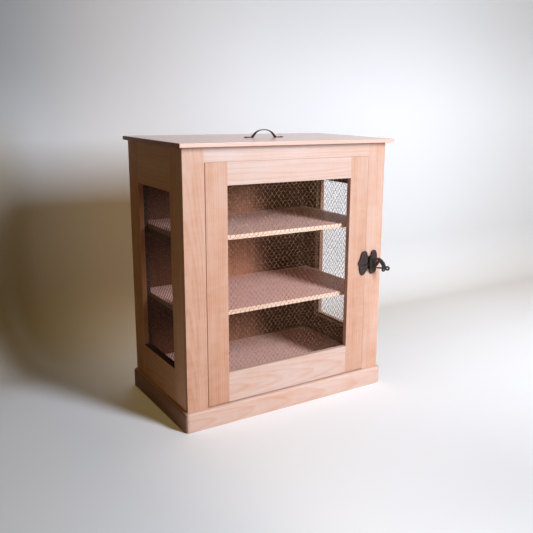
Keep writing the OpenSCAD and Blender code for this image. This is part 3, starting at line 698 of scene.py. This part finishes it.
def rod(shape, points, radii, depth, sides=3, flat=(1, 1, 1)):
    # a swept bar through the points, depth thick times each radius, and squeezed by flat
    curve = bpy.data.curves.new("rod", "CURVE")
    curve.dimensions = "3D"
    curve.bevel_depth = depth
    curve.bevel_resolution = sides
    curve.use_fill_caps = True
    spline = curve.splines.new("NURBS")
    spline.points.add(len(points) - 1)
    for point, place, radius in zip(spline.points, points, radii):
        point.co = (*(place[i] / flat[i] for i in range(3)), 1)
        point.radius = radius
    spline.order_u = 4
    spline.use_endpoint_u = True
    spline.resolution_u = 6
    mesh = curveMesh(curve)
    mesh.transform(Matrix.Diagonal((*flat, 1)))
    addMesh(shape, mesh)


def turned(shape, centre, profile, steps=20, axis=(0, 0, 1)):
    # profile is (radius, height), spun round an axis through centre
    line = Vector(axis)
    side = Vector((1, 0, 0)) if abs(line.x) < 0.9 else Vector((0, 1, 0))
    side = (side - line * side.dot(line)).normalized()
    start = [shape.verts.new(Vector(centre) + side * radius + line * level) for radius, level in profile]
    edges = [shape.edges.new(pair) for pair in zip(start, start[1:])]
    bmesh.ops.spin(shape, geom=start + edges, cent=centre, axis=axis, angle=math.radians(360), steps=steps,
                   use_merge=True)


def castPiece(shape, name, body, slotName, nodes, levels=2, sharp=180, finish=None):
    bmesh.ops.remove_doubles(shape, verts=shape.verts, dist=0.0005)
    bmesh.ops.recalc_face_normals(shape, faces=shape.faces)
    bmesh.ops.scale(shape, vec=(mm, mm, mm), verts=shape.verts)
    piece = keepMesh(meshOf(shape, name), name, body, slotName, nodes, sharpAngle=sharp, finish=finish)
    if levels:
        smooth = piece.modifiers.new("smooth", "SUBSURF")
        smooth.levels = smooth.render_levels = levels


# the latch: a keeper on the door, a wing on the case, the pin and the lever
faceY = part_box("latch_case_wing")[1].y / mm
pinLow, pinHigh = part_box("latch_pin")
pinX, pinY = (pinLow.x + pinHigh.x) / 2 / mm, (pinLow.y + pinHigh.y) / 2 / mm
latchLook = {
    "keeperBase": [(236.0, 399.0), (246.0, 396.0), (249.0, 382.0), (249.5, 350.0), (240.0, 339.0), (233.0, 334.5),
                   (225.0, 340.0), (221.5, 352.0), (219.0, 366.0), (224.0, 378.0), (227.0, 392.0)],
    "keeperTop": [(237.5, 402.6), (244.5, 401.4), (249.0, 394.5), (250.0, 386.0), (253.5, 378.0), (253.5, 364.5),
                  (246.0, 363.5), (232.0, 363.8), (218.5, 362.5), (215.6, 366.5), (223.0, 377.5), (226.0, 390.0),
                  (230.0, 400.0)],
    "keeperLeaf": [(220.6, 359.0), (232.0, 357.6), (243.0, 358.2), (253.5, 362.0), (253.8, 352.0), (250.0, 345.0),
                   (243.5, 338.5), (236.5, 330.6), (228.0, 332.6), (223.6, 343.0), (221.0, 352.0)],
    "keeperKnuckle": [(240.5, 378.5), (248.0, 381.5), (253.0, 376.0), (254.0, 366.0), (247.0, 362.5), (240.0, 366.0)],
    "wing": [(265.0, 400.5), (271.3, 402.6), (278.5, 400.5), (282.6, 392.5), (284.0, 378.6), (284.0, 364.0),
             (283.0, 355.4), (271.0, 355.8), (262.5, 355.4), (261.6, 364.0), (261.4, 376.0), (261.6, 388.0),
             (262.4, 396.5)],
    "lobe": [(257.4, 350.4), (269.0, 350.8), (283.0, 350.4), (283.6, 341.0), (277.0, 334.6), (268.3, 331.6),
             (260.0, 334.4), (256.2, 341.0)],
    "plate": 4.6, "leaf": 3.8, "crown": 0.9, "leafCrown": 1.2, "inset": 2.2, "leafInset": 3.0, "lobeInset": 3.4,
    "baseThick": 1.6, "baseInset": 0.8, "knuckle": (2, 5.2, 2.2, 0.4),    # back, front, inset and hollow
    "pin": [(0, 388.6), (2.6, 388.4), (3.8, 387.2), (3.9, 386.0), (2.6, 385.6), (2.6, 348.6), (3.7, 348.2),
            (3.6, 347.0), (2.4, 346.2), (0, 346.0)],
    "lugs": ((380.6, 385.4), (349.0, 354.0)), "lugBore": 2.4, "lugFlat": 5.2, "lugRadius": 5.7, "lugEase": 0.6,
    "earX": (-4.4, 4.6, 6.4), "earShort": 0.4, "earBack": 0.4, "earFront": 1.0, "earInset": 0.5,
    "hub": [(2.7, 354.6), (4.5, 354.6), (5.0, 355.2), (5.2, 361.0), (4.7, 367.0), (5.2, 373.0), (5.0, 379.6),
            (4.5, 380.2), (2.7, 380.2), (2.7, 354.6)],
}
plateTop, leafTop = faceY - latchLook["plate"], faceY - latchLook["leaf"]
shape = bmesh.new()
outlineCage(shape, latchLook["keeperBase"], faceY, faceY - latchLook["baseThick"], latchLook["baseInset"], 0)
outlineCage(shape, latchLook["keeperTop"], faceY, plateTop, latchLook["inset"], -latchLook["crown"])
outlineCage(shape, latchLook["keeperLeaf"], faceY, leafTop, latchLook["leafInset"], -latchLook["leafCrown"])
back, front, inset, hollow = latchLook["knuckle"]
outlineCage(shape, latchLook["keeperKnuckle"], faceY - back, faceY - front, inset, hollow)
castPiece(shape, "latchKeeperCasting", "door", "latch_iron", ["latch_keeper"])

shape = bmesh.new()
outlineCage(shape, latchLook["wing"], faceY, plateTop, latchLook["inset"], -latchLook["crown"])
outlineCage(shape, latchLook["lobe"], faceY, leafTop, latchLook["lobeInset"], -latchLook["leafCrown"])
castPiece(shape, "latchWingCasting", "case", "latch_iron", ["latch_case_wing"])

shape = bmesh.new()
turned(shape, (pinX, pinY, 0), latchLook["pin"])
bore, rim, radius, ease = (latchLook[name] for name in ("lugBore", "lugFlat", "lugRadius", "lugEase"))
left, right, tip = (pinX + x for x in latchLook["earX"])
for low, high in latchLook["lugs"]:
    turned(shape, (pinX, pinY, 0), [(bore, low), (rim, low), (radius, low + ease), (radius, high - ease),
                                    (rim, high), (bore, high), (bore, low)])
    under, over = low + latchLook["earShort"], high - latchLook["earShort"]
    outlineCage(shape, [(left, over), (right, over), (tip, (low + high) / 2), (right, under), (left, under)],
                faceY - latchLook["earBack"], pinY + latchLook["earFront"], latchLook["earInset"], 0)
castPiece(shape, "latchPinTurning", "case", "latch_iron", ["latch_pin"], levels=1, sharp=40, finish="paintedShadeIron")

shape = bmesh.new()
turned(shape, (pinX, pinY, 0), latchLook["hub"])
castPiece(shape, "latchLeverHub", "latch", "latch_iron", ["latch_lever"], levels=1, sharp=40, finish="paintedShadeIron")

# the lever is drawn straight out from the pin and then turned to where it rests
leverLook = {
    "rest": -45, "flat": (1, 0.56, 1),           # a flat casting, thinnest where it folds over the wings
    "rods": (                                    # thickness, then reach, height and share of the thickness
        (4.0, ((4, 374, 1.0), (11, 376, 1.0), (18, 378.5, 0.9), (24.5, 380.2, 0.95), (29.5, 376.3, 0.95),
               (33.5, 371.5, 1.1), (37.5, 366, 1.1), (40.5, 360, 0.85), (44, 356.0, 0.6))),
        (3.8, ((26, 376, 1.0), (23.5, 373, 1.1), (20.5, 367.5, 1.1), (16.0, 360, 1.1), (12, 355.5, 0.9),
               (5, 357, 0.9))),
        (2.4, ((13, 354.0, 0.8), (20, 353.8, 0.75), (27, 353.8, 1.0), (34, 354.0, 1.2), (42, 355.2, 1.1))),
        (2.6, ((26, 373, 0.9), (30.5, 367.5, 0.9), (34.5, 360.5, 1.1), (37.5, 353, 1.1))),
    ),
    "rings": ((48.3, 353.8, 4.4, 2.65), (37.3, 348.9, 3.4, 2.4)),    # reach, height, radius, thickness
}
shape = bmesh.new()
for thick, line in leverLook["rods"]:
    rod(shape, [(reach, 0, level) for reach, level, _ in line], [share for _, _, share in line], thick,
        flat=leverLook["flat"])
for reach, level, radius, thick in leverLook["rings"]:
    ring = [(reach + radius * math.cos(turn), 0, level + radius * math.sin(turn))
            for turn in (math.radians(30 * step) for step in range(13))]
    rod(shape, ring, [1.0] * len(ring), thick, flat=leverLook["flat"])
bmesh.ops.rotate(shape, cent=(0, 0, 0), matrix=Matrix.Rotation(math.radians(leverLook["rest"]), 3, "Z"),
                 verts=shape.verts)
bmesh.ops.translate(shape, vec=(pinX, pinY, 0), verts=shape.verts)
castPiece(shape, "latchLeverCasting", "latch", "latch_iron", ["latch_lever"], levels=0)


screwDome = {"steps": 24, "under": -1.0, "slotDepth": 0.6,     # the slot's depth is a share of the head's rise
             "profile": [(1.0, 0.15), (0.86, 0.62), (0.5, 0.94), (0.0, 1.0)]}    # shares of its radius and rise


def screwHead(shape, centre, look, axis, turn):
    # a domed head with a sawn slot, standing out along axis
    radius, rise, slot = look["radius"], look["rise"], look["slot"]
    line = Vector(axis)
    head = bmesh.new()
    dome = [(radius * wide, rise * up) for wide, up in screwDome["profile"]]
    turned(head, centre, [(0, screwDome["under"]), (radius, screwDome["under"])] + dome,
           steps=screwDome["steps"], axis=axis)
    bmesh.ops.remove_doubles(head, verts=head.verts, dist=0.0005)
    bmesh.ops.recalc_face_normals(head, faces=head.faces)
    across = (Vector((math.cos(turn), 0.3, math.sin(turn))) if abs(line.z) < 0.5
              else Vector((math.cos(turn), math.sin(turn), 0)))
    across = (across - line * across.dot(line)).normalized()
    for side in (-1, 1):
        bmesh.ops.bisect_plane(head, geom=head.verts[:] + head.edges[:] + head.faces[:],
                               plane_co=Vector(centre) + across * side * slot / 2, plane_no=across, dist=1e-5)
    strip = [face for face in head.faces if face.normal.dot(line) > 0.25
             and abs((face.calc_center_median() - Vector(centre)).dot(across)) < slot / 2]
    grown = bmesh.ops.extrude_face_region(head, geom=strip)
    bmesh.ops.translate(head, vec=-line * rise * screwDome["slotDepth"], verts=newVerts(grown))
    bmesh.ops.delete(head, geom=strip, context="FACES")
    addMesh(shape, meshOf(head, "head"))


latchScrews = {
    "radius": 3.1, "rise": 1.5, "slot": 0.8, "sunk": 0.8, "keeperX": 234.0, "wingX": 270.5,
    "rows": ((342.5, leafTop - latchLook["leafCrown"]), (389.5, plateTop - latchLook["crown"])),    # Z and Y
}
turns = (0, 3)                 # a slot is turned by anything between these, in radians
for node, name, x, body in (("keeper_screws", "latchKeeperScrewHeads", latchScrews["keeperX"], "door"),
                            ("case_wing_screws", "latchWingScrewHeads", latchScrews["wingX"], "case")):
    shape = bmesh.new()
    for z, y in latchScrews["rows"]:
        screwHead(shape, (x, y + latchScrews["sunk"], z), latchScrews, (0, -1, 0), dice.uniform(*turns))
    castPiece(shape, name, body, "latch_iron", [node], levels=0, sharp=35)
print("latch made")

# the lift handle: a strap that thins towards its middle, and a rounded foot at each end
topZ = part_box("top_board")[1].z / mm
handleLow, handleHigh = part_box("lift_handle")
handleY = (handleLow.y + handleHigh.y) / 2 / mm
handleLook = {
    "strap": [(0.0, 20.9, 0.58), (8.0, 20.2, 0.62), (16.5, 18.2, 0.74), (24.5, 13.6, 0.95), (30.0, 8.0, 1.15),
              (34.0, 2.6, 1.25), (36.5, 0.9, 1.25)],        # X, height and share of the thickness
    "strapThick": 2.35, "strapFlat": (1, 2.1, 1),
    "neck": [(33, 1.6, 1.0), (37, 1.5, 0.75), (41, 1.5, 0.7), (45, 1.6, 0.9)],
    "neckThick": 1.35, "neckFlat": (1, 2.2, 1),
    "foot": [(41, 0), (45, 4.2), (51, 6.2), (57, 5.6), (61, 2.4), (61, -2.4), (57, -5.6), (51, -6.2), (45, -4.2)],
    "footThick": 2.0, "footInset": 2.0, "footCrown": 0.7, "screwX": 53.0, "screwUp": 0.3,
    "screw": {"radius": 2.6, "rise": 1.1, "slot": 0.7},
}
shape = bmesh.new()
arc = [(-x, z, share) for x, z, share in handleLook["strap"][:0:-1]] + handleLook["strap"]
rod(shape, [(x, handleY, topZ + z) for x, z, _ in arc], [share for _, _, share in arc], handleLook["strapThick"],
    sides=4, flat=handleLook["strapFlat"])
for side in (-1, 1):
    rod(shape, [(side * x, handleY, topZ + z) for x, z, _ in handleLook["neck"]],
        [share for _, _, share in handleLook["neck"]], handleLook["neckThick"], flat=handleLook["neckFlat"])
    foot = shape.faces.new([shape.verts.new((side * x, handleY + y, topZ)) for x, y in handleLook["foot"]])
    grown = bmesh.ops.extrude_face_region(shape, geom=[foot])
    bmesh.ops.translate(shape, vec=(0, 0, handleLook["footThick"]), verts=newVerts(grown))
    top = [part for part in grown["geom"] if isinstance(part, bmesh.types.BMFace)]
    bmesh.ops.inset_region(shape, faces=top, thickness=handleLook["footInset"], depth=0, use_even_offset=True)
    bmesh.ops.translate(shape, vec=(0, 0, handleLook["footCrown"]), verts=top[0].verts)
castPiece(shape, "liftHandleStrap", "case", "handle_bronze", ["lift_handle"], levels=1)
shape = bmesh.new()
for side in (-1, 1):
    screwHead(shape, (side * handleLook["screwX"], handleY, topZ + handleLook["footThick"] + handleLook["screwUp"]),
              handleLook["screw"], (0, 0, 1), dice.uniform(*turns))
castPiece(shape, "liftHandleScrewHeads", "case", "handle_bronze", ["handle_screws"], levels=0, sharp=35)
print("handle made")

# a paper sweep: the floor runs back, curves up and becomes the wall
sweepLook = {"left": -5, "width": 10, "front": -4.0, "wallY": 0.62, "curve": 0.22, "steps": 16, "rise": 4}
sweep = bmesh.new()
bendY = sweepLook["wallY"] - sweepLook["curve"]
edgeStart = sweep.verts.new((sweepLook["left"], sweepLook["front"], 0))
edgeNext = sweep.verts.new((sweepLook["left"], bendY, 0))
sweep.edges.new((edgeStart, edgeNext))
bmesh.ops.spin(sweep, geom=[edgeNext], cent=(sweepLook["left"], bendY, sweepLook["curve"]), axis=(1, 0, 0),
               angle=math.radians(90), steps=sweepLook["steps"])
topVert = max(sweep.verts, key=lambda vert: (round(vert.co.z, 5), vert.co.y))
raised = bmesh.ops.extrude_vert_indiv(sweep, verts=[topVert])["verts"]
bmesh.ops.translate(sweep, vec=(0, 0, sweepLook["rise"]), verts=raised)
grown = bmesh.ops.extrude_edge_only(sweep, edges=sweep.edges[:])
bmesh.ops.translate(sweep, vec=(sweepLook["width"], 0, 0), verts=newVerts(grown))
bmesh.ops.remove_doubles(sweep, verts=sweep.verts, dist=1e-5)
bmesh.ops.recalc_face_normals(sweep, faces=sweep.faces)
if min(sweep.faces, key=lambda face: face.calc_center_median().y).normal.z < 0:
    bmesh.ops.reverse_faces(sweep, faces=sweep.faces)
sweepMesh = meshOf(sweep, "backdrop")
sweepMesh.shade_smooth()
backdrop = bpy.data.objects.new("backdrop", sweepMesh)
scene.collection.objects.link(backdrop)

# the paper's colours as the camera sees them, with painted falloff and a painted shadow on it, and what it gives back
# to the case
paperLook = {
    "colour": (0.865, 0.96, 1.135), "warm": (-0.27, -0.34, -0.46), "bounce": (0.20, 0.125, 0.032),
    "brightBounce": (0.74, 0.76, 0.81), "leftGlowColour": (0.13, 0.094, 0.05), "rightGlowColour": (0.94, 1.0, 1.12),
    "roughness": 0.9,
    # each area is a product of fades: axis, where it starts and ends, and the two levels
    "corner": (("X", -0.8, 0.4, 0.5, 0.0), ("Z", 0.45, 0.95, 0.0, 1.0)),
    "height": (("Z", 0.7, 1.3, 1.0, 0.72),),
    "nearLamp": (("Y", -0.1, -0.95, 0.0, 0.44), ("X", -0.4, 0.3, 0.0, 1.0)),
    "before": (("Y", -0.3, 0.1, 1.0, 0.0), ("X", -1.0, -0.5, 0.0, 1.0)),
    "above": (("Z", 0.68, 0.85, 0.0, 1.0), ("X", -0.35, 0.0, 0.0, 1.0)),
    "leftShade": (("X", -0.42, -0.56, 0.0, 1.0), ("Y", 0.25, 0.45, 0.0, 1.0), ("Z", 0.0, 0.18, 0.45, 1.0),
                  ("Z", 0.55, 0.8, 1.0, 0.1)),
    "rightGlow": (("X", 0.25, 1.3, 0.0, 0.18),),
    "leftGlow": (("X", -0.55, -0.15, 0.0, 1.0), ("Z", 0.0, 0.22, 1.0, 0.65)),
    "backGlow": (("Y", 0.55, 0.62, 0.0, 1.0), ("X", -0.3, -0.1, 0.0, 1.0), ("X", 0.1, 0.35, 1.0, 0.0),
                 ("Z", 0.55, 0.75, 0.7, 0.0)),
}


def fadeNode(tree, value, start, end, low, high):
    node = tree.nodes.new("ShaderNodeMapRange")
    node.interpolation_type = "SMOOTHSTEP"
    feed(tree, node.inputs["Value"], value)
    for socket, number in zip(("From Min", "From Max", "To Min", "To Max"), (start, end, low, high)):
        node.inputs[socket].default_value = number
    return node.outputs["Result"]


def makePaper(look):
    material, tree, shader = newMaterial("paper")
    ray = tree.nodes.new("ShaderNodeLightPath")
    seen = mathNode(tree, "MAXIMUM", ray.outputs["Is Camera Ray"], ray.outputs["Is Glossy Ray"], clamp=True)
    place = splitNode(tree, tree.nodes.new("ShaderNodeTexCoord").outputs["Object"])

    def area(name):
        return times(tree, *(fadeNode(tree, place[axis], *fade) for axis, *fade in look[name]))

    def rest(value):
        return mathNode(tree, "SUBTRACT", 1.0, value)

    # painted falloff of light: darker higher up, at the top left and near the lamp; leftShade is a warm painted
    # shadow left of the case
    height = area("height")
    shade = times(tree, rest(area("corner")), height, rest(area("nearLamp")))
    warmer = vectorNode(tree, "ADD", tinted(tree, area("leftShade"), look["warm"]), (1, 1, 1))
    seenColour = vectorNode(tree, "MULTIPLY", tinted(tree, shade, look["colour"]), warmer)
    before = mathNode(tree, "MAXIMUM", area("before"), area("above"))
    bounce = rampNode(tree, before, [(0.0, look["bounce"]), (1.0, look["brightBounce"])])
    feed(tree, shader.inputs["Base Color"], mixNode(tree, seen, bounce, seenColour))
    # painted light: a glow that the camera sees on the paper's right side and in the shadow left of the case
    rightGlow = tinted(tree, times(tree, area("rightGlow"), height, seen), look["rightGlowColour"])
    leftGlow = tinted(tree, times(tree, area("leftGlow"), seen), look["leftGlowColour"])
    # the wall behind the case glows, a painted light for the case's back, which no camera sees
    backGlow = times(tree, area("backGlow"), rest(seen))
    glow = vectorNode(tree, "ADD", vectorNode(tree, "ADD", rightGlow, leftGlow),
                      joinNode(tree, backGlow, backGlow, backGlow))
    feed(tree, shader.inputs["Emission Color"], glow)
    shader.inputs["Emission Strength"].default_value = 1.0
    shader.inputs["Roughness"].default_value = look["roughness"]
    shader.inputs["Specular IOR Level"].default_value = 0.0
    # from behind, the wall is clear, so that it never hides the case
    fromBehind = tree.nodes.new("ShaderNodeMixShader")
    feed(tree, fromBehind.inputs[0], tree.nodes.new("ShaderNodeNewGeometry").outputs["Backfacing"])
    feed(tree, fromBehind.inputs[1], shader.outputs[0])
    feed(tree, fromBehind.inputs[2], tree.nodes.new("ShaderNodeBsdfTransparent").outputs[0])
    feed(tree, tree.nodes["Material Output"].inputs["Surface"], fromBehind.outputs[0])
    return material


sweepMesh.materials.append(makePaper(paperLook))

lampLook = {"place": (0.54, -1.76, 1.27), "aim": (0.5, 0.3, 0.22), "size": 0.42, "height": 0.95, "power": 45,
            "spread": 180, "colour": (1.0, 0.985, 0.965)}
lampData = bpy.data.lights.new("softBox", "AREA")
lampData.shape = "RECTANGLE"
lampData.size, lampData.size_y = lampLook["size"], lampLook["height"]
lampData.energy = lampLook["power"]
lampData.color = lampLook["colour"]
lampData.spread = math.radians(lampLook["spread"])
lamp = bpy.data.objects.new("softBox", lampData)
scene.collection.objects.link(lamp)
lamp.location = lampLook["place"]
lamp.rotation_euler = (Vector(lampLook["aim"]) - lamp.location).to_track_quat("-Z", "Y").to_euler()

worldLook = {"light": (0.115, 0.069, 0.008), "seen": (0.80, 0.80, 0.82)}
world = bpy.data.worlds.new("studio")
scene.world = world
world.use_nodes = True
worldTree = world.node_tree
cameraRay = worldTree.nodes.new("ShaderNodeLightPath").outputs["Is Camera Ray"]
feed(worldTree, worldTree.nodes["Background"].inputs["Color"],
     mixNode(worldTree, cameraRay, (*worldLook["light"], 1), (*worldLook["seen"], 1)))
worldTree.nodes["Background"].inputs["Strength"].default_value = 1.0

cameraLook = {"place": (-0.931162, -1.579303, 0.798640), "azimuth": 33.5773, "elevation": 12.9675,
              "roll": 0.7653, "lens": 45.721, "sensor": 36, "shift": (-0.05679, -0.01442)}
cameraData = bpy.data.cameras.new("photoCamera")
cameraData.lens = cameraLook["lens"]
cameraData.sensor_width = cameraLook["sensor"]
cameraData.shift_x, cameraData.shift_y = cameraLook["shift"]
camera = bpy.data.objects.new("photoCamera", cameraData)
scene.collection.objects.link(camera)
camera.matrix_world = (
    Matrix.Translation(cameraLook["place"])
    @ Matrix.Rotation(math.radians(-cameraLook["azimuth"]), 4, "Z")
    @ Matrix.Rotation(math.radians(90 - cameraLook["elevation"]), 4, "X")
    @ Matrix.Rotation(math.radians(cameraLook["roll"]), 4, "Z")
)
scene.camera = camera
scene.view_settings.view_transform = "Standard"
print("stage, light and camera set")

bpy.context.view_layer.update()
